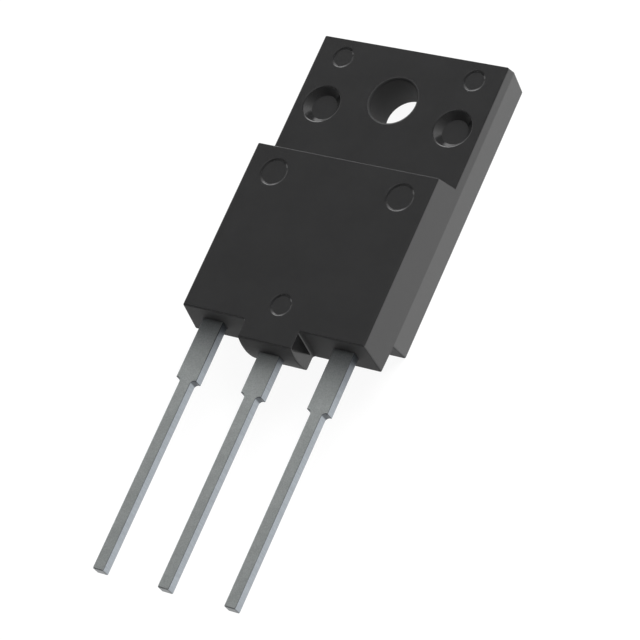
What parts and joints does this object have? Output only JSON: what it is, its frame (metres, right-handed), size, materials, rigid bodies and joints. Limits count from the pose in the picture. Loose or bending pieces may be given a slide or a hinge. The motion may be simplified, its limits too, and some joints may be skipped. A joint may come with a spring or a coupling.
{
  "type": "power transistor",
  "caption": "Fully insulated moulded power transistor with a screw tab, a stepped body and straight leads for through-hole soldering.",
  "frame": {"origin": "the mounting hole's axis where it meets the flat back", "axes": "+Z out of the front face along the hole's axis, +Y towards the tab's end with the leads towards -Y, +X across the package"},
  "size_m": [0.0156, 0.0439, 0.0055],
  "materials": {
    "moulding": "black epoxy moulding compound, satin with a fine grain",
    "lead_metal": "copper with dull tin plating outside the moulding",
    "solder": "dull solder",
    "silicon": "polished silicon with metal pads",
    "wire": "drawn aluminium"
  },
  "bodies": {
    "root": {"moulded_case": "moulding", "centre_lead_frame": "lead_metal", "left_lead": "lead_metal", "right_lead": "lead_metal", "chip_solder": "solder", "silicon_chip": "silicon", "control_wire": "wire", "power_wire_1": "wire", "power_wire_2": "wire"}
  },
  "joints": []
}
